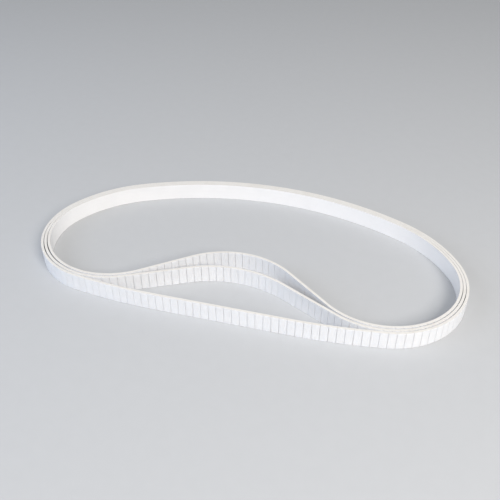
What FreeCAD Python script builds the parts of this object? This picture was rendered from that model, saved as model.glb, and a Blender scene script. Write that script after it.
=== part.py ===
# Three identical endless timing belts kept one inside another, standing on edge.
# Each belt is a white polyurethane ring: smooth on the inside, and on the
# outside divided into flat-topped teeth by a narrow slit at every pitch.
# Steel tension cords lie side by side inside each ring, on its pitch line.
# The three rings run together round the back and both ends.  Along the front
# the outer one runs straight, and the two inside it, being just as long, take
# up their spare length in a lobe that bends into the middle.
import FreeCAD, Part
import math
import os

os.makedirs("parts", exist_ok=True)

doc = FreeCAD.newDocument("TimingBelts")
sheet = doc.addObject("Spreadsheet::Sheet", "Sizes")

# name, value (mm or degrees), what it is
SIZES = [
    ("tooth_pitch", 10.0, "tooth spacing along the pitch line"),
    ("tooth_count", 145, "teeth on each belt"),
    ("belt_width", 25.0, "height of the belt as it stands on edge"),
    ("belt_thickness", 3.4, "smooth face to tooth tip"),
    ("slit_width", 0.3, "gap between two teeth, on the pitch line"),
    ("cord_depth", 1.1, "smooth face to the cord centres, the pitch line"),
    ("cord_diameter", 0.9, "steel tension cord"),
    ("cord_cover", 0.25, "polyurethane left between a cord and the root of a slit"),
    ("slit_depth", "=belt_thickness - cord_depth - cord_diameter / 2 - cord_cover",
     "depth of the gap between two teeth, 1.6"),
    ("cord_count", 12, "cords side by side in each belt"),
    ("cord_spacing", "=belt_width / (cord_count + 0.5)",
     "between neighbouring cord centres, 2.0"),
    ("cord_clearance", 0.02, "radial room round a cord in its channel"),
    ("nest_gap", 0.4, "room between two belts at the middle of the back"),
    ("back_radius", 450.0, "pitch line along the back, outer belt"),
    ("back_angle", 27.0, "half the turn of the back"),
    ("shoulder_radius", 180.0, "pitch line between back and end"),
    ("shoulder_angle", 34.0, "turn of the shoulder"),
    ("end_radius", 105.5, "pitch line round each end"),
    ("end_angle", 110.0, "turn of the end, outer belt"),
    ("front_radius", 740.0, "easing from the end into the straight front"),
    ("end_tighten", 1.7, "each belt inside rounds its ends tighter by this"),
    ("end_turn", 96.2, "turn from the back to where the end becomes the lobe's foot"),
    ("middle_corner_room", 0.98, "from the outer belt to the middle one at a front corner"),
    ("inner_corner_room", 1.94, "from the middle belt to the inner one at a front corner"),
    ("middle_lobe_radius", 144.7, "top of the middle belt's lobe"),
    ("inner_lobe_radius", 107.7, "top of the inner belt's lobe"),
    ("outer_phase", 0.26, "first slit of the outer belt, in pitches"),
    ("middle_phase", 0.45, "first slit of the middle belt, in pitches"),
    ("inner_phase", 0.6, "first slit of the inner belt, in pitches"),
]
for row, (alias, value, meaning) in enumerate(SIZES, start=1):
    sheet.set("A%d" % row, alias)
    sheet.set("B%d" % row, str(value))
    sheet.set("C%d" % row, meaning)
    sheet.setAlias("B%d" % row, alias)
doc.recompute()


def size(alias):
    """One value of the sheet as a plain number."""
    return float(sheet.get(alias))


# ---------------------------------------------------------------- plan lines
# A belt's pitch line is a chain of tangent pieces, (length, radius), walked
# clockwise seen from above.  A positive radius bends with the loop, a negative
# one bends the other way and no radius is a straight stretch.

def turn(radius, degrees):
    """A bend of this radius through this angle."""
    return (abs(radius) * math.radians(degrees), radius)


def walk(pieces, x, y, heading):
    """Lay the pieces end to end: (start length, length, x, y, heading, bend)."""
    laid = []
    travelled = 0.0
    for length, radius in pieces:
        bend = 1.0 / radius if radius else 0.0
        laid.append((travelled, length, x, y, heading, bend))
        x, y, heading = step(x, y, heading, bend, length)
        travelled += length
    return laid, travelled, (x, y, heading)


def step(x, y, heading, bend, along):
    """Where a bend or a straight has got to after this distance."""
    if not bend:
        return (x + along * math.cos(heading), y + along * math.sin(heading), heading)
    after = heading - bend * along
    x += (math.sin(heading) - math.sin(after)) / bend
    y += (math.cos(after) - math.cos(heading)) / bend
    return (x, y, after)


def half_reach(pieces):
    """Where a half loop begun at the middle of the back ends: (x, y, heading)."""
    return walk(pieces, 0.0, 0.0, 0.0)[2]


def whole_loop(half, front):
    """Mirror a half loop: back, right side, front, left side."""
    back = half[0]
    side = half[1:]
    return [(2.0 * back[0], back[1])] + side + front + side[::-1]


belt_length = size("tooth_pitch") * size("tooth_count")

# Outer belt: its bends as drawn, closed by a straight front, then scaled so
# that the pitch line holds a whole number of pitches.
front_turn = 180.0 - size("back_angle") - size("shoulder_angle") - size("end_angle")
drawn = [
    turn(size("back_radius"), size("back_angle")),
    turn(size("shoulder_radius"), size("shoulder_angle")),
    turn(size("end_radius"), size("end_angle")),
    turn(size("front_radius"), front_turn),
]
drawn_reach = half_reach(drawn)[0]
drawn_length = 2.0 * (sum(piece[0] for piece in drawn) + drawn_reach)
scale = belt_length / drawn_length
outer_half = [(length * scale, radius * scale) for length, radius in drawn]
outer_depth = -half_reach(outer_half)[1]
outer_loop = whole_loop(outer_half, [(2.0 * drawn_reach * scale, 0.0)])
outer_corner = half_reach(outer_half[:3])   # where an end eases into the front


def foot_radius(bends, inset, spacing):
    """Bend that carries a belt past the outer one's front corner at this spacing."""
    corner_x, corner_y, corner_heading = outer_corner
    x, y, heading = half_reach(bends)
    apart = ((corner_y + inset - y) * math.cos(corner_heading)
             - (corner_x - x) * math.sin(corner_heading))
    return (apart - spacing) / (1.0 - math.cos(heading - corner_heading))


def nested_half(rank, lobe_angle, spacing, lobe_radius):
    """Half of the belt lying rank places inside the outer one."""
    inset = rank * (size("belt_thickness") + size("nest_gap"))
    end_angle = size("end_turn") - size("back_angle") - size("shoulder_angle")
    end_radius = size("end_radius") - rank * size("end_tighten")
    half = [
        turn(scale * size("back_radius") - inset, size("back_angle")),
        turn(scale * size("shoulder_radius") - inset, size("shoulder_angle")),
        turn(scale * end_radius - inset, end_angle),
    ]
    foot = foot_radius(half, inset, spacing)
    half.append(turn(foot, 180.0 + lobe_angle - size("end_turn")))
    rise = math.radians(lobe_angle)
    reach = half_reach(half)[0]
    flank = (reach - scale * lobe_radius * math.sin(rise)) / math.cos(rise)
    return half + [(flank, 0.0)], turn(-scale * lobe_radius, lobe_angle)


LOBE_ANGLES = (1.0, 75.0)   # the lobe stays between nearly flat and nearly upright
HALVINGS = 60               # enough to reach the last digit of a length
ANGLE_MARGIN = 0.5          # an answer this close to a limit is no answer


def nested_loop(rank, spacing, lobe_radius):
    """Open the lobe until the belt is exactly as long as the outer one."""
    low, high = LOBE_ANGLES
    for _ in range(HALVINGS):
        lobe_angle = 0.5 * (low + high)
        half, lobe = nested_half(rank, lobe_angle, spacing, lobe_radius)
        if 2.0 * (sum(piece[0] for piece in half) + lobe[0]) < belt_length:
            low = lobe_angle
        else:
            high = lobe_angle
    if not LOBE_ANGLES[0] + ANGLE_MARGIN < lobe_angle < LOBE_ANGLES[1] - ANGLE_MARGIN:
        raise ValueError("the nested belt cannot be made the same length")
    return whole_loop(half, [(2.0 * lobe[0], lobe[1])])


def placed(pieces, rank):
    """Put a loop in the frame, the outer loop centred on the origin."""
    back_length, back_radius = pieces[0]
    half_turn = 0.5 * back_length / back_radius
    top = 0.5 * outer_depth - rank * (size("belt_thickness") + size("nest_gap"))
    x = -back_radius * math.sin(half_turn)
    y = top - back_radius * (1.0 - math.cos(half_turn))
    laid, total, _ = walk(pieces, x, y, half_turn)
    return laid, total


def spot(laid, total, along, out):
    """The point this far along a pitch line and this far outside it."""
    along = along % total
    for start, length, x, y, heading, bend in laid:
        if along <= start + length:
            break
    x, y, heading = step(x, y, heading, bend, along - start)
    return FreeCAD.Vector(x - out * math.sin(heading), y + out * math.cos(heading), 0.0)


SHORTEST_EDGE = 1e-6


def run(laid, total, first, last, out):
    """Edges that follow the pitch line at a fixed distance outside it."""
    edges = []
    for lap in (0.0, total):
        for start, length, x, y, heading, bend in laid:
            a = max(first, start + lap)
            b = min(last, start + lap + length)
            if b - a < SHORTEST_EDGE:
                continue
            ends = [step(x, y, heading, bend, c - start - lap) for c in (a, 0.5 * (a + b), b)]
            points = [FreeCAD.Vector(px - out * math.sin(h), py + out * math.cos(h), 0.0)
                      for px, py, h in ends]
            if bend:
                edges.append(Part.Arc(*points).toShape())
            else:
                edges.append(Part.LineSegment(points[0], points[2]).toShape())
    return edges


def toothed_wire(laid, total, phase):
    """Outline of the toothed side: tooth tips parted by the slits."""
    pitch = size("tooth_pitch")
    half_slit = 0.5 * size("slit_width")
    tip = size("belt_thickness") - size("cord_depth")
    root = tip - size("slit_depth")
    edges = []
    for tooth in range(int(size("tooth_count"))):
        slit = (tooth + phase) * pitch
        a = slit - half_slit
        b = slit + half_slit
        corners = [spot(laid, total, a, tip), spot(laid, total, a, root),
                   spot(laid, total, b, root), spot(laid, total, b, tip)]
        for p, q in zip(corners, corners[1:]):
            edges.append(Part.LineSegment(p, q).toShape())
        edges += run(laid, total, b, slit + pitch - half_slit, tip)
    return Part.Wire(edges)


# --------------------------------------------------------------- the belts
# Pitch line to pitch line from the outer belt, at its front corners.
middle_spacing = size("belt_thickness") + size("middle_corner_room")
inner_spacing = middle_spacing + size("belt_thickness") + size("inner_corner_room")
middle_loop = nested_loop(1, middle_spacing, size("middle_lobe_radius"))
inner_loop = nested_loop(2, inner_spacing, size("inner_lobe_radius"))
BELTS = [
    ("outer_belt", 0, outer_loop, "outer_phase"),
    ("middle_belt", 1, middle_loop, "middle_phase"),
    ("inner_belt", 2, inner_loop, "inner_phase"),
]
nodes = []


def cord_height(index):
    """Sheet formula for the height of one cord's centre above the resting edge."""
    return "0.5 * (Sizes.belt_width - (Sizes.cord_count - 1) * Sizes.cord_spacing)" \
           " + %d * Sizes.cord_spacing" % index


def ring_section(name, at, radius_formula):
    """A circle across the pitch line, for sweeping round it."""
    circle = doc.addObject("Part::Circle", name)
    circle.setExpression("Radius", radius_formula)
    x, y, heading = at
    across = FreeCAD.Rotation(FreeCAD.Vector(0, 0, 1),
                              FreeCAD.Vector(math.cos(heading), math.sin(heading), 0))
    circle.Placement = FreeCAD.Placement(FreeCAD.Vector(x, y, 0), across)
    return circle


def ring(name, section, line, index):
    """One round section swept along a pitch line, lifted to its own height."""
    swept = doc.addObject("Part::Sweep", name)
    swept.Sections = [section]
    swept.Spine = (line, ["Edge%d" % (n + 1) for n in range(len(line.Shape.Edges))])
    swept.Solid = True
    swept.Frenet = False
    swept.setExpression(".Placement.Base.z", cord_height(index))
    return swept


for belt, rank, pieces, phase in BELTS:
    laid, total = placed(pieces, rank)
    start = (laid[0][2], laid[0][3], laid[0][4])

    # the pitch line every cord of this belt follows
    pitch_line = doc.addObject("Part::Feature", belt + "_pitch_line")
    pitch_line.Shape = Part.Wire(run(laid, total, 0.0, total, 0.0))

    # the ring's plan, toothed outside and smooth inside, stood up to its width
    plan = doc.addObject("Part::Feature", belt + "_plan")
    smooth = Part.Wire(run(laid, total, 0.0, total, -size("cord_depth")))
    toothed = toothed_wire(laid, total, size(phase))
    plan.Shape = Part.makeFace(Part.makeCompound([toothed, smooth]), "Part::FaceMakerBullseye")
    blank = doc.addObject("Part::Extrusion", belt + "_blank")
    blank.Base = plan
    blank.DirMode = "Custom"
    blank.Dir = FreeCAD.Vector(0, 0, 1)
    blank.Solid = True
    blank.setExpression("LengthFwd", "Sizes.belt_width")

    # cords, and the channels moulded round them
    cord_round = ring_section(belt + "_cord_section", start, "Sizes.cord_diameter / 2")
    channel_round = ring_section(belt + "_channel_section", start,
                                 "Sizes.cord_diameter / 2 + Sizes.cord_clearance")
    channels = []
    for index in range(int(size("cord_count"))):
        channels.append(ring("%s_channel_%02d" % (belt, index + 1), channel_round, pitch_line, index))
        cord = ring("%s_cord_%02d" % (belt, index + 1), cord_round, pitch_line, index)
        cord.Label = "%s_cord_%02d" % (belt, index + 1)
        nodes.append(cord)
    moulds = doc.addObject("Part::Compound", belt + "_channels")
    moulds.Links = channels
    body = doc.addObject("Part::Cut", belt + "_body")
    body.Base = blank
    body.Tool = moulds
    body.Label = belt + "_body"
    nodes.append(body)

doc.recompute()

for node in nodes:
    for fault in ("Invalid", "Error"):
        if fault in node.State:
            raise ValueError("%s is %s" % (node.Label, fault))
    if node.Shape.isNull() or not node.Shape.isValid():
        raise ValueError("%s has no valid shape" % node.Label)
    node.Shape.exportStep("parts/%s.step" % node.Label)
    print("%-22s volume %10.1f mm3" % (node.Label, node.Shape.Volume))
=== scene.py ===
# %% [markdown]
# # Three timing belts, one inside another
# The object is three white polyurethane belts standing on edge.  Each one is an
# endless ring: smooth inside, cut into flat teeth by narrow slits outside, with
# steel cords buried in it.  The imported CAD model is the fixed frame: it says
# where everything is, in metres.  It is loaded first, and its box is kept.

# %% Load the frame
import math

import bmesh
import bpy
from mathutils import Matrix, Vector


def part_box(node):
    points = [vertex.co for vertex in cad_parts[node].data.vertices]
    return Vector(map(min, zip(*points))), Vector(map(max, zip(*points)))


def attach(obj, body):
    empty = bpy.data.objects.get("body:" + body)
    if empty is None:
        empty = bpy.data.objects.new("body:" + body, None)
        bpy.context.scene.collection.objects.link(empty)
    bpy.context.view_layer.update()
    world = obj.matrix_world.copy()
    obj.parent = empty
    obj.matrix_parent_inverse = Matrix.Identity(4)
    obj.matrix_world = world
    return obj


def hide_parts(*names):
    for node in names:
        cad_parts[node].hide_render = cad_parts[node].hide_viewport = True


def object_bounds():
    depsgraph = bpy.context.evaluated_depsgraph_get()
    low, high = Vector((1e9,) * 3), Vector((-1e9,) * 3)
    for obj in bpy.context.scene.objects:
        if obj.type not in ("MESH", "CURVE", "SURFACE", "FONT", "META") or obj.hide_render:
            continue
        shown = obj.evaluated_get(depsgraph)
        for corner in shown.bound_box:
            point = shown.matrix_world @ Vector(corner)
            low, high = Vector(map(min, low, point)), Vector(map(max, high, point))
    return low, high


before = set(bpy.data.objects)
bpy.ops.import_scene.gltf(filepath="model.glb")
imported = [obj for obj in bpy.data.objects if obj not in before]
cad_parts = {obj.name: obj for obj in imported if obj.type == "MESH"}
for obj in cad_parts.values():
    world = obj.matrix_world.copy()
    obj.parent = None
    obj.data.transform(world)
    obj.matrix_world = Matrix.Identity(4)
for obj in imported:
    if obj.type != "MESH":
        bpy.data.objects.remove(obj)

cad_low, cad_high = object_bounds()
print("CAD box", [round(c, 4) for c in (*cad_low, *cad_high)])

# %% [markdown]
# ## The sizes of a belt
# A belt maker starts from the pitch, the distance from one tooth to the next,
# measured along the cords, because the cords keep their length when the belt
# bends.  Everything across the belt is then counted outwards from that pitch
# line.  The sizes are in millimetres, which are easier to read than metres for
# such small things.  The mesh is turned into metres as it is bent into a ring.

# %% Sizes of one belt, in millimetres
MM = 0.001
PITCH = 10.0
TEETH = 145
BELT_LENGTH = PITCH * TEETH
THICKNESS = 3.4
SMOOTH_FACE = -1.1
TOOTH_TIP = SMOOTH_FACE + THICKNESS
SLIT_DEPTH = 1.6
SLIT_ROOT = TOOTH_TIP - SLIT_DEPTH
HALF_SLIT = 0.15
NEST_GAP = 0.4
body_low, body_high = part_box("outer_belt_body")
WIDTH = (body_high.z - body_low.z) / MM
print("a belt of", TEETH, "teeth is", BELT_LENGTH, "mm long and", round(WIDTH, 2), "mm wide")

# %% [markdown]
# ## The line that a belt follows
# A belt that lies free bends in long even curves.  A spline would be quick to
# draw, but its length is hard to control, and these three belts are the same
# length to the tooth.  So each pitch line is a chain of plain bends and
# straights that run smoothly into each other, as a draughtsman would draw it.
# A bend is its length and radius, and a negative radius bends outwards.  Going
# round is clockwise seen from above, starting at the left end of the back.

# %% Bends and straights
def turn(radius, degrees):
    """A bend of this radius through this angle."""
    return (abs(radius) * math.radians(degrees), radius)


def step(x, y, heading, bend, along):
    """Where a bend or a straight has got to after this distance."""
    if not bend:
        return x + along * math.cos(heading), y + along * math.sin(heading), heading
    after = heading - bend * along
    x += (math.sin(heading) - math.sin(after)) / bend
    y += (math.cos(after) - math.cos(heading)) / bend
    return x, y, after


def lay(pieces, x, y, heading):
    """Lay bends end to end: the pieces where they lie, and the end of the last one."""
    laid, travelled = [], 0.0
    for length, radius in pieces:
        bend = 1.0 / radius if radius else 0.0
        laid.append((travelled, length, x, y, heading, bend))
        x, y, heading = step(x, y, heading, bend, length)
        travelled += length
    return laid, (x, y)


def end_of(pieces):
    """Where pieces end that start at the origin and head along x."""
    return lay(pieces, 0.0, 0.0, 0.0)[1]


def length_of(pieces):
    """How long pieces are together."""
    return sum(length for length, _ in pieces)


def whole_loop(half, front):
    """A half loop and its mirror image: back, right side, front, left side."""
    side = half[1:]
    return [(2.0 * half[0][0], half[0][1])] + side + front + side[::-1]


# %% [markdown]
# ## The outer belt's line
# The outer belt is a long oval.  Its back is a slow curve, a shoulder leads into
# each round end, and the front is straight but for a slight bend at each corner.
# Half of the curve is drawn first, from the middle of the back, and then scaled
# a little, so that the whole of it holds exactly 145 teeth.

# %% Lay out the outer belt
# each is a radius in millimetres and the degrees that it turns in half a belt
BACK, SHOULDER, END = (450.0, 27.0), (180.0, 34.0), (105.5, 110.0)
FRONT_RADIUS = 740.0
END_HEADING = BACK[1] + SHOULDER[1] + END[1]
drawn = [turn(*BACK), turn(*SHOULDER), turn(*END), turn(FRONT_RADIUS, 180.0 - END_HEADING)]
reach = end_of(drawn)[0]
scale = BELT_LENGTH / (2.0 * (length_of(drawn) + reach))
outer_half = [(length * scale, radius * scale) for length, radius in drawn]
half_depth = -0.5 * end_of(outer_half)[1]
loops = [whole_loop(outer_half, [(2.0 * reach * scale, 0.0)])]
print("outer belt is", round(2.0 * half_depth, 2), "mm deep along its pitch line")

# %% [markdown]
# ## The feet of the belts inside
# The belts inside follow the outer one along the back and the shoulders.  Their
# ends are a little tighter, and let go of it sooner, where the foot of the lobe
# begins.  A foot with a radius of its own could run out through the belt in
# front when another size is changed.  So what is given is the room left at the
# outer belt's front corner, and the radius is worked out from that.

# %% Work out a foot's radius
END_TIGHTER = 1.7             # millimetres off the end's radius, for each place inside
END_TURN = 96.2               # heading, in degrees, where an end becomes a foot
CORNER_ROOMS = (0.98, 1.94)   # outer to middle belt, and middle to inner belt
corner_x, corner_y = end_of(outer_half[:3])
corner_heading = -math.radians(END_HEADING)


def foot_radius(bends, inset, spacing):
    """The bend that passes the outer belt's front corner at this spacing."""
    x, y = end_of(bends)
    apart = ((corner_y + inset - y) * math.cos(corner_heading)
             - (corner_x - x) * math.sin(corner_heading))
    return (apart - spacing) / (1.0 - math.cos(math.radians(END_TURN) + corner_heading))


# %% [markdown]
# ## The lobes
# The belts inside are just as long as the outer one but have less room, so
# their spare length stands up as a lobe in the middle of the front.  How far
# the lobe opens isn't chosen.  The belt is tried with a lobe that is too small
# and one that is too large, and the range between them is halved until the
# belt has its true length.

# %% Lay out the middle and the inner belt
LOBE_RADII = (144.7, 107.7)         # the bend at the top of each lobe, in millimetres
LEAST_LOBE, MOST_LOBE = 1.0, 75.0   # degrees
HALVINGS = 60


def nested(rank, lobe_angle, spacing, lobe):
    """The belt that lies rank places inside, with its lobe opened by an angle."""
    inset = rank * (THICKNESS + NEST_GAP)
    half = [turn(scale * BACK[0] - inset, BACK[1]),
            turn(scale * SHOULDER[0] - inset, SHOULDER[1]),
            turn(scale * (END[0] - rank * END_TIGHTER) - inset,
                 END_TURN - BACK[1] - SHOULDER[1])]
    half.append(turn(foot_radius(half, inset, spacing), 180.0 + lobe_angle - END_TURN))
    rise = math.radians(lobe_angle)
    reached = end_of(half)[0]
    half.append(((reached - scale * lobe * math.sin(rise)) / math.cos(rise), 0.0))
    top = turn(-scale * lobe, lobe_angle)
    return whole_loop(half, [(2.0 * top[0], top[1])])


spacing = 0.0
for rank, (room, lobe) in enumerate(zip(CORNER_ROOMS, LOBE_RADII), start=1):
    spacing += THICKNESS + room
    low, high = LEAST_LOBE, MOST_LOBE
    for _ in range(HALVINGS):
        lobe_angle = 0.5 * (low + high)
        loop = nested(rank, lobe_angle, spacing, lobe)
        if length_of(loop) < BELT_LENGTH:
            low = lobe_angle
        else:
            high = lobe_angle
    loops.append(loop)
    print("belt", rank, "inside closes with its lobe open", round(lobe_angle, 2), "degrees")

# %% [markdown]
# ## The lines in the frame
# The loops know their bends but not their place.  Each line is laid so that the
# middle of its back lies on the axis x = 0, and each belt's back is one
# thickness and one gap in front of the back of the belt outside it.

# %% Put the three lines in the frame
lines = []
for rank, loop in enumerate(loops):
    back_length, back_radius = loop[0]
    half_turn = 0.5 * back_length / back_radius
    x = -back_radius * math.sin(half_turn)
    y = half_depth - rank * (THICKNESS + NEST_GAP) - back_radius * (1.0 - math.cos(half_turn))
    lines.append(lay(loop, x, y, half_turn)[0])


def on_line(line, along, out):
    """The point, in millimetres, this far along a line and this far outside it."""
    along %= BELT_LENGTH
    for start, length, x, y, heading, bend in line:
        if along <= start + length:
            break
    x, y, heading = step(x, y, heading, bend, along - start)
    return x - out * math.sin(heading), y + out * math.cos(heading)


print(len(lines), "pitch lines of", [round(length_of(loop), 3) for loop in loops], "mm")

# %% [markdown]
# ## One tooth
# All 435 teeth are alike, so one is modelled well and then repeated.  It is made
# straight: x runs along the belt, y out towards the tooth tip and z up.  A cube
# becomes the web that carries the tooth.  Two cuts across it mark the slits,
# and the face between them is extruded into the tooth.  The operator is given
# that face alone, so it also leaves it where it was: a hidden floor inside the
# tooth, whose border edges have three faces and not two.  More cuts give the
# block places to bend.

# %% Model the block of one tooth
BENDS_PER_TOOTH = 4
CUT_MERGE = 1e-5       # millimetres within which a cut takes the vertex that is there
NEAR = 1e-3            # millimetres within which two places count as the same
FACING = 0.9           # share of a normal along an axis for a face that looks that way
TOOTH_MIDDLE = 1.0     # millimetres from a tooth's middle, where only its own face has its centre


def everything(bm):
    """All vertices, edges and faces, as the bmesh operators want them."""
    return bm.verts[:] + bm.edges[:] + bm.faces[:]


def cut_across(bm, x):
    """A cut straight through the block, which changes no shape."""
    bmesh.ops.bisect_plane(bm, geom=everything(bm), dist=CUT_MERGE,
                           plane_co=(x, 0.0, 0.0), plane_no=(1.0, 0.0, 0.0))


def tooth_block():
    """One pitch of web with its tooth, and half a slit at each end."""
    bm = bmesh.new()
    bmesh.ops.create_cube(bm, size=1.0)
    bmesh.ops.scale(bm, vec=(PITCH, SLIT_ROOT - SMOOTH_FACE, WIDTH), verts=bm.verts)
    bmesh.ops.translate(bm, verts=bm.verts,
                        vec=(0.5 * PITCH, 0.5 * (SLIT_ROOT + SMOOTH_FACE), 0.5 * WIDTH))
    cut_across(bm, HALF_SLIT)
    cut_across(bm, PITCH - HALF_SLIT)
    bm.normal_update()
    foot = [f for f in bm.faces
            if f.normal.y > FACING
            and abs(f.calc_center_median().x - 0.5 * PITCH) < TOOTH_MIDDLE]
    grown = bmesh.ops.extrude_face_region(bm, geom=foot)["geom"]
    bmesh.ops.translate(bm, vec=(0.0, SLIT_DEPTH, 0.0),
                        verts=[v for v in grown if isinstance(v, bmesh.types.BMVert)])
    for n in range(1, BENDS_PER_TOOTH):
        cut_across(bm, PITCH * n / BENDS_PER_TOOTH)
    bm.normal_update()
    return bm


tooth = tooth_block()
print("the block of one tooth has", len(tooth.faces), "faces")

# %% [markdown]
# ## Lips and rims
# Moulded polyurethane never has knife-sharp lips.  The tips of the tooth get a
# rounded bevel of two steps beside the slits, and the rims along the cut edges
# a plain one of the same size.  Where the next tooth joins on there must be
# no wall, so the faces at both ends are taken away last.

# %% Soften one tooth and open its ends
LIP = 0.08
RIM = 0.08


def soften_lips(bm):
    """Round the edges where the tooth's tip meets the slits."""
    slit_walls = (HALF_SLIT, PITCH - HALF_SLIT)
    lips = [e for e in bm.edges
            if all(abs(v.co.y - TOOTH_TIP) < NEAR for v in e.verts)
            and any(all(abs(v.co.x - wall) < NEAR for v in e.verts) for wall in slit_walls)]
    bmesh.ops.bevel(bm, geom=lips, offset=LIP, segments=2, profile=0.5,
                    affect="EDGES", material=-1)
    bm.normal_update()


def soften_rims(bm):
    """Take the sharpness off the edges round the upper and lower cut faces."""
    ends = [f for f in bm.faces if abs(f.normal.x) > FACING
            and min(f.calc_center_median().x, PITCH - f.calc_center_median().x) < NEAR]
    rims = [e for e in bm.edges if len(e.link_faces) == 2
            and sum(abs(f.normal.z) > FACING for f in e.link_faces) == 1
            and not any(f in ends for f in e.link_faces)]
    bmesh.ops.bevel(bm, geom=rims, offset=RIM, segments=1, profile=0.5,
                    affect="EDGES", material=-1)
    bm.normal_update()


def open_ends(bm):
    """Take away the faces where the next tooth joins on."""
    ends = [f for f in bm.faces
            if all(abs(v.co.x) < NEAR for v in f.verts)
            or all(abs(v.co.x - PITCH) < NEAR for v in f.verts)]
    bmesh.ops.delete(bm, geom=ends, context="FACES")


soften_lips(tooth)
soften_rims(tooth)
open_ends(tooth)
print("one tooth has", len(tooth.faces), "faces and", len(tooth.verts), "vertices")

# %% [markdown]
# ## A straight strip of 145 teeth
# An Array modifier would repeat the tooth too, but the strip still has to be
# bent with care, so it is made real here.  The spin operator with no angle and
# a step of one pitch is a plain row of copies, and merging the doubled vertices
# welds them.  While the strip is still straight it is easy to say what each
# face is, so this is where it gets its three finishes and its map: along the
# belt one way, and across the belt the other, both in metres.

# %% Repeat the tooth and mark its faces
TOOTHED, SMOOTH, CUT = range(3)
LEANING = 0.5          # share of a normal that a cut face and the bevel of its rim both have

bmesh.ops.spin(tooth, geom=everything(tooth), cent=(0.0, 0.0, 0.0), axis=(0.0, 0.0, 1.0),
               dvec=(PITCH, 0.0, 0.0), angle=0.0, steps=TEETH - 1, use_duplicate=True)
bmesh.ops.remove_doubles(tooth, verts=tooth.verts, dist=NEAR)
bmesh.ops.recalc_face_normals(tooth, faces=tooth.faces)

belt_map = tooth.loops.layers.uv.new("along_and_across")
for face in tooth.faces:
    facing = [abs(c) for c in face.normal]
    if facing[2] > LEANING:
        face.material_index = CUT
    elif face.calc_center_median().y < SMOOTH_FACE + NEAR:
        face.material_index = SMOOTH
    else:
        face.material_index = TOOTHED
    for loop in face.loops:
        x, y, z = loop.vert.co
        if facing[2] > LEANING:
            spot = (x, y)
        elif facing[0] > FACING:
            spot = (x + TOOTH_TIP - y, z)
        else:
            spot = (x, z)
        loop[belt_map].uv = (spot[0] * MM, spot[1] * MM)
print("the strip has", len(tooth.faces), "faces")

# %% [markdown]
# ## Bend the strip into three rings
# Each ring is a copy of the strip whose vertices are carried to the belt's line:
# x becomes the way along the line, and y the way out from it, so a bend opens
# the slits at the tips as it does on a real belt.  The two ends meet and are
# merged, so that the ring has no gap.  The edges that don't have exactly two
# faces are counted: they are the borders of the floors hidden in the teeth.
# Each ring takes the place of its CAD body.

# %% Build the rings
# each belt, and how far its first slit lies along its line, in pitches
BELTS = (("outer_belt", 0.26), ("middle_belt", 0.45), ("inner_belt", 0.6))
SHARP = math.radians(20.0)     # edges that turn more than this stay crisp
LOWEST, HIGHEST = 0, 6     # the two corners of Blender's bounding box that span it
rings = []
for (belt, phase), line in zip(BELTS, lines):
    bm = tooth.copy()
    for vert in bm.verts:
        x, y = on_line(line, vert.co.x + phase * PITCH, vert.co.y)
        vert.co = Vector((x, y, vert.co.z)) * MM
    bmesh.ops.remove_doubles(bm, verts=bm.verts, dist=NEAR * MM)
    bmesh.ops.recalc_face_normals(bm, faces=bm.faces)
    floor_edges = sum(not edge.is_manifold for edge in bm.edges)
    mesh = bpy.data.meshes.new(belt + "_ring")
    bm.to_mesh(mesh)
    bm.free()
    mesh.shade_smooth()
    mesh.set_sharp_from_angle(angle=SHARP)
    ring = bpy.data.objects.new(belt + "_ring", mesh)
    bpy.context.scene.collection.objects.link(ring)
    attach(ring, belt)
    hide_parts(belt + "_body")
    rings.append(ring)
    off = max((Vector(corner) - wanted).length for corner, wanted in
              zip((ring.bound_box[LOWEST], ring.bound_box[HIGHEST]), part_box(belt + "_body")))
    print(ring.name, len(mesh.polygons), "faces,", floor_edges, "floor edges,",
          round(off / MM, 3), "mm from the CAD box")
tooth.free()

# %% [markdown]
# ## Small helpers for materials
# A material is a graph of nodes.  Writing one in code is mostly adding a node,
# setting its values and joining sockets, so a few small helpers keep that short.
# A value given to a node is either a number, or a socket that is linked to it.

# %% Node helpers
# a Mix node has sockets for every kind of data, and these are the ones for colours
MIX_SHARE, MIX_FIRST, MIX_SECOND, MIX_RESULT = 0, 6, 7, 2


def add(tree, kind, values=None, **settings):
    """A new node with its settings, and its inputs set or linked."""
    node = tree.nodes.new(kind)
    for name, value in settings.items():
        setattr(node, name, value)
    for key, value in (values or {}).items():
        if isinstance(value, bpy.types.NodeSocket):
            tree.links.new(value, node.inputs[key])
        else:
            node.inputs[key].default_value = value
    return node


def maths(tree, operation, a, b=0.0):
    """The result of one sum."""
    return add(tree, "ShaderNodeMath", {0: a, 1: b}, operation=operation).outputs[0]


def noise(tree, position, scale, detail, **more):
    """A noise over a position, finer with a larger scale."""
    return add(tree, "ShaderNodeTexNoise",
               {"Vector": position, "Scale": scale, "Detail": detail, **more}).outputs["Fac"]


def ramp(tree, value, low, high, to_low=0.0, to_high=1.0):
    """A value brought smoothly from one range to another."""
    return add(tree, "ShaderNodeMapRange",
               {"Value": value, "From Min": low, "From Max": high,
                "To Min": to_low, "To Max": to_high},
               interpolation_type="SMOOTHSTEP").outputs["Result"]


def blend_colour(tree, share, first, second):
    """Two colours mixed by a share."""
    node = add(tree, "ShaderNodeMix", {MIX_SHARE: share, MIX_FIRST: first, MIX_SECOND: second},
               data_type="RGBA")
    return node.outputs[MIX_RESULT]


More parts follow.
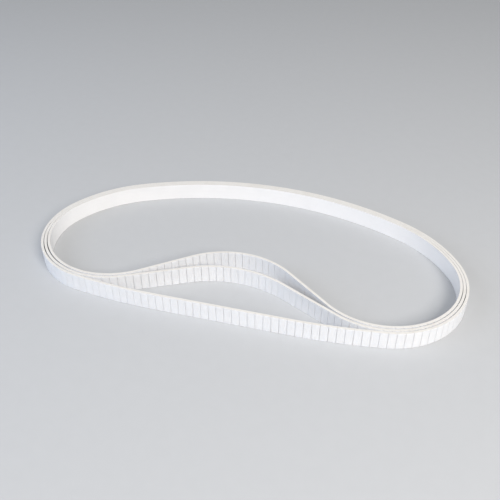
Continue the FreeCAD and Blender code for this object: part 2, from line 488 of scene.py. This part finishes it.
# %% Node group helpers
def new_group(name, inputs, outputs):
    """An empty node group with its sockets: (tree, input sockets, output node)."""
    tree = bpy.data.node_groups.new(name, "ShaderNodeTree")
    for socket, kind, value in inputs:
        made = tree.interface.new_socket(socket, in_out="INPUT", socket_type="NodeSocket" + kind)
        if value is not None:
            made.default_value = value
    for socket, kind in outputs:
        tree.interface.new_socket(socket, in_out="OUTPUT", socket_type="NodeSocket" + kind)
    return tree, tree.nodes.new("NodeGroupInput").outputs, tree.nodes.new("NodeGroupOutput")


def place(tree, group, values):
    """One use of a node group in a material."""
    return add(tree, "ShaderNodeGroup", values, node_tree=group).outputs


# %% [markdown]
# ## Moulded skin
# Cast polyurethane isn't as smooth as it looks.  It has a fine satin grain from
# the mould, scattered pinholes where air was caught, and a milky tone that
# changes slowly from place to place.  All three faces of a belt show it in
# different strength, so it is a node group: it reads a position in metres and
# gives a height for the bump, a slow tone and a mask of the pinholes.

# %% Group: moulded skin
SWELL_SCALE = 320.0
PINHOLE_SCALE = 380.0
PINHOLE_CHANCE = (0.80, 0.86)     # of a cell's random value, above which it has a pinhole
PINHOLE_SIZE = (0.10, 0.04)       # from its edge to its full depth, in cells
GRAIN_SHARE, SWELL_SHARE, PINHOLE_DEPTH = 0.35, 0.65, 0.8
TONE_RANGE = (0.3, 0.7)

skin, inputs, output = new_group(
    "moulded_skin",
    [("Position", "Vector", None), ("Grain Scale", "Float", 2600.0),
     ("Cloud Scale", "Float", 45.0)],
    [("Height", "Float"), ("Tone", "Float"), ("Pinholes", "Float")])
grain = noise(skin, inputs["Position"], inputs["Grain Scale"], 3.0, Roughness=0.6)
swell = noise(skin, inputs["Position"], SWELL_SCALE, 2.0)
cloud = noise(skin, inputs["Position"], inputs["Cloud Scale"], 4.0, Roughness=0.55)
cells = add(skin, "ShaderNodeTexVoronoi", {"Vector": inputs["Position"],
            "Scale": PINHOLE_SCALE, "Randomness": 1.0}).outputs
rare = ramp(skin, add(skin, "ShaderNodeSeparateColor", {0: cells["Color"]}).outputs[0],
            *PINHOLE_CHANCE)
pinhole = maths(skin, "MULTIPLY", ramp(skin, cells["Distance"], *PINHOLE_SIZE), rare)
height = maths(skin, "ADD", maths(skin, "MULTIPLY", grain, GRAIN_SHARE),
               maths(skin, "MULTIPLY", swell, SWELL_SHARE))
height = maths(skin, "SUBTRACT", height, maths(skin, "MULTIPLY", pinhole, PINHOLE_DEPTH))
skin.links.new(height, output.inputs["Height"])
skin.links.new(ramp(skin, cloud, *TONE_RANGE), output.inputs["Tone"])
skin.links.new(pinhole, output.inputs["Pinholes"])
print("group", skin.name, "has", len(skin.nodes), "nodes")

# %% [markdown]
# ## Rubbed edges, dust and painted shade at the slits
# Handling polishes the rims of a belt.  In and beside the slits the colour is
# darkened a little: partly grey dust that nothing wipes off, and partly painted
# shade that widens the dark lines of the slits.  The masks come from the belt's
# own map: how near a point is to a slit along the belt, and to the upper or
# lower rim across it.  A noise breaks the border up, so that no two teeth are
# marked alike.  A third mask is a stretched noise, for scuffs along the belt.

# %% Group: rubbed edges, dust and painted slit shade
# the reach and the fade below set how far rim wear goes, and how far the dust and painted shade
# beside the slits go
RAGGED_SCALE = 700.0
LEAST_REACH = 0.3                        # added to the noise that sets how far wear reaches
FADE = (1.3, 0.5)                        # reaches from the edge: no wear, and full wear
SCUFF_STRETCH = (160.0, 900.0, 1.0)
SCUFF_RANGE = (0.62, 0.74)


def from_edge(tree, value):
    """How near a share from 0 to 1 is to the nearer of its two ends."""
    middle_out = maths(tree, "ABSOLUTE", maths(tree, "SUBTRACT", value, 0.5))
    return maths(tree, "SUBTRACT", 0.5, middle_out)


wear_and_slit_shade, inputs, output = new_group(
    "rubbed_edges_and_slit_shade",
    [("Map", "Vector", None), ("Position", "Vector", None), ("Reach", "Float", 0.6)],
    [("At Slit", "Float"), ("At Rim", "Float"), ("Scuffs", "Float")])
axes = add(wear_and_slit_shade, "ShaderNodeSeparateXYZ", {0: inputs["Map"]}).outputs
in_tooth = maths(wear_and_slit_shade, "FRACT", maths(wear_and_slit_shade, "DIVIDE", axes[0], PITCH * MM))
from_slit = maths(wear_and_slit_shade, "MULTIPLY", from_edge(wear_and_slit_shade, in_tooth), PITCH)
across = maths(wear_and_slit_shade, "DIVIDE", axes[1], WIDTH * MM)
from_rim = maths(wear_and_slit_shade, "MULTIPLY", from_edge(wear_and_slit_shade, across), WIDTH)
ragged = noise(wear_and_slit_shade, inputs["Position"], RAGGED_SCALE, 3.0)
limit = maths(wear_and_slit_shade, "MULTIPLY", inputs["Reach"], maths(wear_and_slit_shade, "ADD", ragged, LEAST_REACH))
# the slit mask carries dust and painted shade, the rim mask carries wear
for distance, name in ((from_slit, "At Slit"), (from_rim, "At Rim")):
    near = maths(wear_and_slit_shade, "DIVIDE", distance, limit)
    wear_and_slit_shade.links.new(ramp(wear_and_slit_shade, near, *FADE), output.inputs[name])
stretched = add(wear_and_slit_shade, "ShaderNodeMapping", {"Vector": inputs["Map"],
                "Scale": SCUFF_STRETCH}).outputs[0]
scratch = noise(wear_and_slit_shade, stretched, 1.0, 2.0, Distortion=0.4)
wear_and_slit_shade.links.new(ramp(wear_and_slit_shade, scratch, *SCUFF_RANGE), output.inputs["Scuffs"])
print("group", wear_and_slit_shade.name, "has", len(wear_and_slit_shade.nodes), "nodes")

# %% [markdown]
# ## What the three finishes share
# Each finish is one Principled shader, because polyurethane is a soft plastic
# and not a metal.  They all start alike and read the same two things: the
# position, for patterns that fill space, and the belt's own map, for patterns
# that follow it round.

# %% Material helpers
POLYURETHANE_IOR = 1.5


def start_material(name):
    """An empty material with one Principled shader: (material, tree, shader)."""
    material = bpy.data.materials.new(name)
    material.use_nodes = True
    tree = material.node_tree
    return material, tree, tree.nodes["Principled BSDF"]


def where(tree):
    """The object position and the belt's own map."""
    position = add(tree, "ShaderNodeTexCoord").outputs["Object"]
    return position, add(tree, "ShaderNodeUVMap", uv_map="along_and_across").outputs[0]


def tint(tree, colour, mask, strength, towards):
    """A colour taken towards another where a mask says, at most by a strength."""
    return blend_colour(tree, maths(tree, "MULTIPLY", mask, strength), colour, towards)


def bump(tree, shader, height, strength, depth):
    """Raise or sink the surface a little, by a depth in metres."""
    node = add(tree, "ShaderNodeBump", {"Height": height, "Strength": strength,
                                        "Distance": depth})
    tree.links.new(node.outputs[0], shader.inputs["Normal"])


# %% [markdown]
# ## The toothed face
# The outside of the belt is moulded against steel, and looks cool white and
# satin.  The teeth are lightly scuffed along the belt, and the rims above and
# below are rubbed smoother.  In and beside the slits the colour is darkened a
# little, partly by dust and partly as painted shade for the slits' dark lines.
# Light also goes a little way into the milky plastic and comes out beside where
# it went in, which keeps the slits from looking black.

# %% Material: toothed face
COOL_WHITE = (0.84, 0.845, 0.86, 1.0)
COOL_SHADE = (0.815, 0.82, 0.835, 1.0)
# one grey for dust on all faces; beside the slits it is also painted shade
DUST_AND_SLIT_SHADE = (0.52, 0.50, 0.46, 1.0)
SLIT_DUST_AND_SHADE, SCUFF_DUST, PINHOLE_DUST = 0.12, 0.05, 0.5
TOOTH_ROUGHNESS = (0.42, 0.52)
SCUFF_ROUGHER, RIM_SMOOTHER = 0.12, 0.1
MILKY = 0.5                       # how much of the light goes into the plastic
MILKY_DEPTH = 0.0025              # metres
MILKY_COLOUR = (1.0, 0.95, 0.9)   # red goes deepest

toothed, tree, shader = start_material("toothed_polyurethane")
position, belt_uv = where(tree)
skin_out = place(tree, skin, {"Position": position, "Grain Scale": 3000.0})
wear_and_shade_out = place(tree, wear_and_slit_shade, {"Map": belt_uv, "Position": position, "Reach": 0.3})
colour = blend_colour(tree, skin_out["Tone"], COOL_WHITE, COOL_SHADE)
# darker in and beside the slits: partly dust, partly painted shade that widens the slits' dark
# lines
colour = tint(tree, colour, wear_and_shade_out["At Slit"], SLIT_DUST_AND_SHADE, DUST_AND_SLIT_SHADE)
colour = tint(tree, colour, wear_and_shade_out["Scuffs"], SCUFF_DUST, DUST_AND_SLIT_SHADE)
colour = tint(tree, colour, skin_out["Pinholes"], PINHOLE_DUST, DUST_AND_SLIT_SHADE)
tree.links.new(colour, shader.inputs["Base Color"])
rough = maths(tree, "ADD", ramp(tree, skin_out["Tone"], 0.0, 1.0, *TOOTH_ROUGHNESS),
              maths(tree, "MULTIPLY", wear_and_shade_out["Scuffs"], SCUFF_ROUGHER))
rough = maths(tree, "SUBTRACT", rough, maths(tree, "MULTIPLY", wear_and_shade_out["At Rim"], RIM_SMOOTHER))
tree.links.new(rough, shader.inputs["Roughness"])
shader.inputs["IOR"].default_value = POLYURETHANE_IOR
shader.inputs["Subsurface Weight"].default_value = MILKY
shader.inputs["Subsurface Radius"].default_value = MILKY_COLOUR
shader.inputs["Subsurface Scale"].default_value = MILKY_DEPTH
bump(tree, shader, skin_out["Height"], 0.35, 0.00008)
print("material", toothed.name)

# %% [markdown]
# ## The smooth face
# The inside of the belt runs on flat idlers.  It is a more neutral white, a
# touch glossier than the teeth, and its fine marks run along the belt, because
# everything that ever rubbed it went that way.  A little dust lies at its rims.

# %% Material: smooth face
NEUTRAL_WHITE = (0.875, 0.87, 0.87, 1.0)
NEUTRAL_SHADE = (0.85, 0.845, 0.845, 1.0)
STREAK_STRETCH = (25.0, 2200.0, 1.0)
STREAK_DUST, RIM_DUST = 0.10, 0.12
SMOOTH_ROUGHNESS = (0.34, 0.46)

smooth, tree, shader = start_material("smooth_polyurethane")
position, belt_uv = where(tree)
skin_out = place(tree, skin, {"Position": position, "Grain Scale": 3600.0,
                              "Cloud Scale": 30.0})
wear_and_shade_out = place(tree, wear_and_slit_shade, {"Map": belt_uv, "Position": position, "Reach": 0.5})
streaks = add(tree, "ShaderNodeMapping", {"Vector": belt_uv, "Scale": STREAK_STRETCH})
streak = noise(tree, streaks.outputs[0], 1.0, 3.0)
colour = blend_colour(tree, skin_out["Tone"], NEUTRAL_WHITE, NEUTRAL_SHADE)
colour = blend_colour(tree, ramp(tree, streak, 0.55, 0.8, 0.0, STREAK_DUST), colour, DUST_AND_SLIT_SHADE)
colour = tint(tree, colour, wear_and_shade_out["At Rim"], RIM_DUST, DUST_AND_SLIT_SHADE)
tree.links.new(colour, shader.inputs["Base Color"])
tree.links.new(ramp(tree, streak, 0.3, 0.7, *SMOOTH_ROUGHNESS), shader.inputs["Roughness"])
shader.inputs["IOR"].default_value = POLYURETHANE_IOR
height = maths(tree, "ADD", maths(tree, "MULTIPLY", skin_out["Height"], 0.5),
               maths(tree, "MULTIPLY", streak, 0.5))
bump(tree, shader, height, 0.25, 0.00006)
print("material", smooth.name)

# %% [markdown]
# ## The cut edges
# Belts are moulded as a wide sleeve and then slit to width.  The knife leaves a
# dull face with fine lines along the belt, and without the moulded skin the
# polyurethane shows its own colour, a warm cream.  The lines are a noise that
# is stretched along the belt and fine across its thickness.

# %% Material: cut edge
CREAM = (0.77, 0.75, 0.715, 1.0)
CREAM_SHADE = (0.71, 0.685, 0.64, 1.0)
GRIME = (0.52, 0.47, 0.40, 1.0)
KNIFE_STRETCH = (120.0, 5200.0, 1.0)
PINHOLE_GRIME, CLOUD_GRIME = 0.7, 0.12
CUT_ROUGHNESS = (0.55, 0.75)
KNIFE_SHARE, SKIN_SHARE = 0.8, 0.2

cut, tree, shader = start_material("cut_edge_polyurethane")
position, belt_uv = where(tree)
skin_out = place(tree, skin, {"Position": position, "Grain Scale": 2200.0})
lines_map = add(tree, "ShaderNodeMapping", {"Vector": belt_uv, "Scale": KNIFE_STRETCH})
knife = noise(tree, lines_map.outputs[0], 1.0, 3.0, Roughness=0.6)
colour = blend_colour(tree, ramp(tree, knife, 0.35, 0.7), CREAM, CREAM_SHADE)
colour = tint(tree, colour, skin_out["Pinholes"], PINHOLE_GRIME, GRIME)
colour = blend_colour(tree, ramp(tree, skin_out["Tone"], 0.6, 1.0, 0.0, CLOUD_GRIME),
                      colour, GRIME)
tree.links.new(colour, shader.inputs["Base Color"])
tree.links.new(ramp(tree, knife, 0.3, 0.7, *CUT_ROUGHNESS), shader.inputs["Roughness"])
shader.inputs["IOR"].default_value = POLYURETHANE_IOR
height = maths(tree, "ADD", maths(tree, "MULTIPLY", knife, KNIFE_SHARE),
               maths(tree, "MULTIPLY", skin_out["Height"], SKIN_SHARE))
bump(tree, shader, height, 0.5, 0.00008)
print("material", cut.name)

# %% [markdown]
# ## The steel cords
# Twelve cords of twisted steel wire lie inside each ring.  They are closed in,
# and only show if a ring is hidden or cut open, but they are part of the object
# and get a finish of their own: bright drawn wire.  The slanting bands of its
# twist are painted into its colour, as painted highlight on the crowns of the
# wires and painted shade in the grooves between them; the same bands also raise
# a bump.  A cord's solid has no map, so the bands come from its position.

# %% Material: steel cord
# painted highlight on the crowns of the wires and painted shade in the grooves, in the steel's
# colour
CROWN_PAINTED_HIGHLIGHT = (0.62, 0.62, 0.63, 1.0)
GROOVE_PAINTED_SHADE = (0.33, 0.33, 0.35, 1.0)
TWIST_SCALE = 420.0
DRAWN_SCALE = 1800.0
CORD_ROUGHNESS = (0.28, 0.42)

steel, tree, shader = start_material("twisted_steel_cord")
position = add(tree, "ShaderNodeTexCoord").outputs["Object"]
slant = add(tree, "ShaderNodeMapping", {"Vector": position, "Rotation": (0.0, 0.6, 0.5)})
twist = add(tree, "ShaderNodeTexWave", {"Vector": slant.outputs[0], "Scale": TWIST_SCALE,
            "Distortion": 0.6, "Detail": 1.0}).outputs["Fac"]
drawn_marks = noise(tree, position, DRAWN_SCALE, 2.0)
# the twist bands in the colour are painted highlight and painted shade
tree.links.new(blend_colour(tree, ramp(tree, twist, 0.1, 0.6, 1.0, 0.0), CROWN_PAINTED_HIGHLIGHT, GROOVE_PAINTED_SHADE),
               shader.inputs["Base Color"])
tree.links.new(ramp(tree, drawn_marks, 0.3, 0.7, *CORD_ROUGHNESS), shader.inputs["Roughness"])
shader.inputs["Metallic"].default_value = 1.0
bump(tree, shader, twist, 0.6, 0.0001)

# %% Give the pieces their finishes
cords = [node for name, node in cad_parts.items() if "_cord_" in name]
for node in cords:
    node.data.materials.clear()
    node.data.materials.append(steel)
for ring in rings:
    for material in (toothed, smooth, cut):
        ring.data.materials.append(material)
print(len(cords), "cords in steel and", len(rings), "rings in three finishes each")

# %% [markdown]
# ## Floor
# The belts stand on a plain pale floor. It is a little darker than they are, so
# that white still reads as white, and so wide that its far edge only shows in
# views from near the ground.

# %% Floor
FLOOR_HALF = 20.0
FLOOR_GAP = 0.0001            # metres, so that the belts and the floor never share a plane
PALE, PALE_FLECK = (0.50, 0.51, 0.52, 1.0), (0.52, 0.53, 0.54, 1.0)
FLECK_SCALE = 60.0
floor_bm = bmesh.new()
bmesh.ops.create_grid(floor_bm, x_segments=1, y_segments=1, size=FLOOR_HALF)
bmesh.ops.translate(floor_bm, verts=floor_bm.verts, vec=(0.0, 0.0, cad_low.z - FLOOR_GAP))
floor_mesh = bpy.data.meshes.new("floor")
floor_bm.to_mesh(floor_mesh)
floor_bm.free()
floor = bpy.data.objects.new("floor", floor_mesh)
bpy.context.scene.collection.objects.link(floor)

paper, tree, shader = start_material("pale_floor")
position = add(tree, "ShaderNodeTexCoord").outputs["Object"]
fleck = noise(tree, position, FLECK_SCALE, 3.0)
tree.links.new(blend_colour(tree, fleck, PALE, PALE_FLECK), shader.inputs["Base Color"])
shader.inputs["Roughness"].default_value = 0.8
floor_mesh.materials.append(paper)
print("floor", 2 * FLOOR_HALF, "m wide")

# %% [markdown]
# ## Light
# White goods need soft light that comes from several sides.  The key light is
# warm and stands at the front right.  A weaker cool one stands at the front left,
# a low and bluer one beside it reaches the teeth at the left end, and a faint
# one hangs above.  All four are area lights: the bigger the area, the softer the
# shadow.  Pale walls fill in the rest, and they are the world's even colour.

# %% Lights
def soft_light(name, offset, size, power, colour):
    """A square area light, this far from the middle of the belts, that looks at it."""
    data = bpy.data.lights.new(name, "AREA")
    data.shape = "SQUARE"
    data.size = size
    data.energy = power
    data.color = colour
    lamp = bpy.data.objects.new(name, data)
    place_at = middle + Vector(offset)
    lamp.location = place_at
    lamp.rotation_euler = (middle - place_at).to_track_quat("-Z", "Y").to_euler()
    bpy.context.scene.collection.objects.link(lamp)


middle = 0.5 * (cad_low + cad_high)
soft_light("key", offset=(1.3, -1.4, 1.6), size=1.1, power=50.0, colour=(1.0, 0.965, 0.93))
soft_light("side", offset=(-1.7, -1.1, 1.5), size=1.2, power=15.0, colour=(0.82, 0.88, 1.0))
soft_light("window", offset=(-2.0, -0.6, 0.5), size=1.0, power=8.0, colour=(0.50, 0.68, 1.0))
soft_light("top", offset=(0.1, -0.3, 2.2), size=1.6, power=5.0, colour=(1.0, 0.98, 0.95))

WALL_COLOUR, WALL_STRENGTH = (0.97, 0.98, 1.0, 1.0), 0.44
world = bpy.data.worlds.new("studio_walls")
world.use_nodes = True
world.node_tree.nodes["Background"].inputs["Color"].default_value = WALL_COLOUR
world.node_tree.nodes["Background"].inputs["Strength"].default_value = WALL_STRENGTH
bpy.context.scene.world = world
bpy.context.scene.view_settings.view_transform = "Standard"
print(len(bpy.data.lights), "lights set")

# %% [markdown]
# ## Camera
# The camera looks down on the belts from the front right, with a lens of about
# normal length.  It is placed by its direction and its distance from the point
# that it looks at, which is close to the middle of the belts' footprint.

# %% Camera
AZIMUTH, ELEVATION, DISTANCE = math.radians(15.25), math.radians(37.53), 0.9127
AIM_X, AIM_Y = -0.0037, 0.0073    # metres from the middle of the footprint
LENS = 45.79
NEAREST, FARTHEST = 0.01, 100.0
aim = Vector((middle.x + AIM_X, middle.y + AIM_Y, cad_low.z))
back = Vector((math.sin(AZIMUTH) * math.cos(ELEVATION),
               -math.cos(AZIMUTH) * math.cos(ELEVATION), math.sin(ELEVATION)))
camera_data = bpy.data.cameras.new("camera")
camera_data.lens = LENS
camera_data.clip_start = NEAREST
camera_data.clip_end = FARTHEST
camera = bpy.data.objects.new("camera", camera_data)
camera.location = aim + DISTANCE * back
camera.rotation_euler = (-back).to_track_quat("-Z", "Y").to_euler()
bpy.context.scene.collection.objects.link(camera)
bpy.context.scene.camera = camera
print("camera at", [round(c, 4) for c in camera.location])
